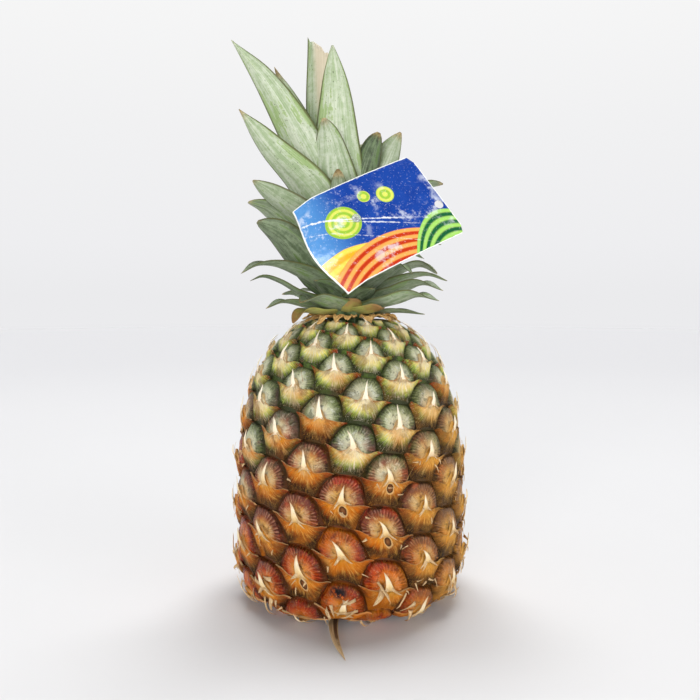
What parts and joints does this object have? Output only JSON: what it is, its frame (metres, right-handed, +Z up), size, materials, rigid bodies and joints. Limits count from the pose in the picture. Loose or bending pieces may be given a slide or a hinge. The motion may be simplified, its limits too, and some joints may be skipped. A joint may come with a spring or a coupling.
{
  "type": "pineapple",
  "caption": "Ripe pineapple standing on its base: spiralled eyes with papery spikes, a leafy crown, a cut stalk with a dry leaf, and a glossy printed card pinned to the crown.",
  "frame": {"origin": "middle of the stalk's cut face, level with the three low places that the fruit stands on", "axes": "+Z up along the fruit's axis, -Y towards the front where the card hangs, +X to the right seen from the front"},
  "size_m": [0.1237, 0.1481, 0.293],
  "materials": {
    "skin": "satin",
    "leaf": "matte",
    "dry_stalk": "matte",
    "print": "gloss",
    "clear_plastic": "gloss"
  },
  "bodies": {
    "root": {"fruit": "skin", "crown": "leaf", "stalk": "dry_stalk", "card": "print", "card_pin": "clear_plastic"}
  },
  "joints": []
}
